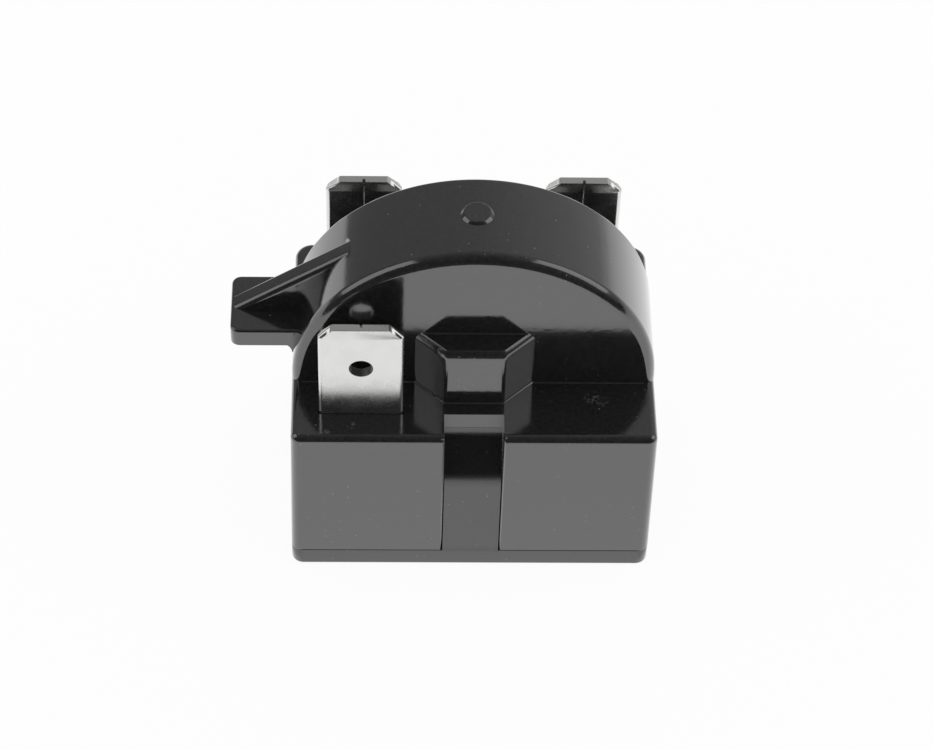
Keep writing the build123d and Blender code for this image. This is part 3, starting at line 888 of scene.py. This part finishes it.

# Studio. A white table, which the plastic mirrors darker in front of the relay and to its right, a
# painted shade in the table's mirrored glow, a soft lamp on either side, and a room that looks white to
# the camera and dark grey, brighter towards the rear and the right, in the plastic.

table_size = 3.0
table_colour = (0.9, 0.9, 0.9, 1)
table_glow = 0.94
front_shade = 0.06
front_shade_edges = (-0.056, -0.050)
right_shade = 0.58
right_shade_edges = (0.05, 0.3)
lamp_width = 0.42
lamp_height = 0.5
lamp_power = 0.66
lamp_place = (0.496, -0.031, 0.339)
ambient_grey = (0.75, 0.75, 0.75, 1)
room_grey = (0.128, 0.128, 0.128, 1)

table_form = bmesh.new()
bmesh.ops.create_grid(table_form, x_segments=1, y_segments=1, size=table_size)
table_mesh = bpy.data.meshes.new("table")
table_form.to_mesh(table_mesh)
table_form.free()
table = bpy.data.objects.new("table", table_mesh)
bpy.context.scene.collection.objects.link(table)
table_white, tree, shader = new_material("table_white")
shader.inputs["Base Color"].default_value = table_colour
shader.inputs["Roughness"].default_value = 0.8
path = tree.nodes.new("ShaderNodeLightPath")
camera_share = calculate(tree, "MULTIPLY", path.outputs["Is Camera Ray"], table_glow)
share = calculate(tree, "MAXIMUM", camera_share, path.outputs["Is Glossy Ray"])
white = tree.nodes.new("ShaderNodeEmission")
white.inputs["Color"].default_value = (1, 1, 1, 1)
place = tree.nodes.new("ShaderNodeTexCoord")
split = tree.nodes.new("ShaderNodeSeparateXYZ")
tree.links.new(place.outputs["Object"], split.inputs["Vector"])
# Painted shade: the table's glow, as the plastic mirrors it, is turned down in front of the relay and
# to its right.
front = spread(tree, split.outputs["Y"], front_shade, 1.0, *front_shade_edges)
right = spread(tree, split.outputs["X"], 1.0, right_shade, *right_shade_edges)
mirrored = calculate(tree, "MULTIPLY", front, right)
strength = calculate(tree, "MAXIMUM", path.outputs["Is Camera Ray"], mirrored)
tree.links.new(strength, white.inputs["Strength"])
blend = tree.nodes.new("ShaderNodeMixShader")
tree.links.new(share, blend.inputs["Fac"])
tree.links.new(shader.outputs["BSDF"], blend.inputs[1])
tree.links.new(white.outputs["Emission"], blend.inputs[2])
tree.links.new(blend.outputs["Shader"], tree.nodes["Material Output"].inputs["Surface"])
table_mesh.materials.append(table_white)

for side in (-1, 1):
    lamp = bpy.data.lights.new("soft lamp", "AREA")
    lamp.shape = "RECTANGLE"
    lamp.size = lamp_width
    lamp.size_y = lamp_height
    lamp.energy = lamp_power
    lamp_object = bpy.data.objects.new("soft lamp", lamp)
    bpy.context.scene.collection.objects.link(lamp_object)
    place = Vector(lamp_place)
    place.x *= side
    lamp_object.location = place
    lamp_object.rotation_euler = (-place).to_track_quat("-Z", "Y").to_euler()

world = bpy.data.worlds.new("room")
world.use_nodes = True
tree = world.node_tree
bpy.context.scene.world = world
path = tree.nodes.new("ShaderNodeLightPath")
ambient = tree.nodes["Background"]
ambient.inputs["Color"].default_value = ambient_grey
place = tree.nodes.new("ShaderNodeTexCoord")
split = tree.nodes.new("ShaderNodeSeparateXYZ")
tree.links.new(place.outputs["Generated"], split.inputs["Vector"])
# The mirrored room's grey is multiplied by e to the power of a sum: axis, range on it, rate of rise.
slopes = [("Y", 0.0, 1.0, 1.05), ("Y", -1.0, 0.0, 1.5), ("X", 0.0, 1.0, 0.75), ("X", -1.0, 0.0, 0.2)]
total = 0.0
for axis, low, high, rate in slopes:
    term = spread(tree, split.outputs[axis], low * rate, high * rate, low, high)
    total = calculate(tree, "ADD", total, term)
room = tree.nodes.new("ShaderNodeBackground")
room.inputs["Color"].default_value = room_grey
tree.links.new(calculate(tree, "EXPONENT", total), room.inputs["Strength"])
mirror_mix = tree.nodes.new("ShaderNodeMixShader")
tree.links.new(path.outputs["Is Glossy Ray"], mirror_mix.inputs["Fac"])
tree.links.new(ambient.outputs["Background"], mirror_mix.inputs[1])
tree.links.new(room.outputs["Background"], mirror_mix.inputs[2])
backdrop = tree.nodes.new("ShaderNodeBackground")
backdrop.inputs["Color"].default_value = (1, 1, 1, 1)
camera_mix = tree.nodes.new("ShaderNodeMixShader")
tree.links.new(path.outputs["Is Camera Ray"], camera_mix.inputs["Fac"])
tree.links.new(mirror_mix.outputs["Shader"], camera_mix.inputs[1])
tree.links.new(backdrop.outputs["Background"], camera_mix.inputs[2])
tree.links.new(camera_mix.outputs["Shader"], tree.nodes["World Output"].inputs["Surface"])

# Camera. It stands at the photograph's angle, in front of the relay and well above it, turned and
# rolled by a few degrees. The centre of the view lies a little above the middle of the block's
# front top edge, and to its left.

view_rise = math.radians(49.8184)
view_turn = math.radians(2.4784)
view_roll = math.radians(2.1895)
view_distance = 228.948 * mm
view_centre = (-0.7908 * mm, 4.777 * mm)
image_width = 933
focal_pixels = 3080.19
sensor_width = 36.0

camera_data = bpy.data.cameras.new("camera")
camera_data.sensor_width = sensor_width
camera_data.lens = focal_pixels * sensor_width / image_width
camera_data.clip_start = 0.01
camera = bpy.data.objects.new("camera", camera_data)
bpy.context.scene.collection.objects.link(camera)
turn = Matrix.Rotation(-view_turn, 4, "Z")
rise = Matrix.Rotation(math.pi / 2 - view_rise, 4, "X")
roll = Matrix.Rotation(view_roll, 4, "Z")
across, up = view_centre
aim = turn @ Vector((across, up * math.sin(view_rise), up * math.cos(view_rise)))
aim += Vector((0, front_y * mm, shelf_z * mm))
away = turn @ Vector((0, -math.cos(view_rise), math.sin(view_rise)))
camera.matrix_world = Matrix.Translation(aim + away * view_distance) @ turn @ rise @ roll
bpy.context.scene.camera = camera
bpy.context.scene.view_settings.view_transform = "Standard"
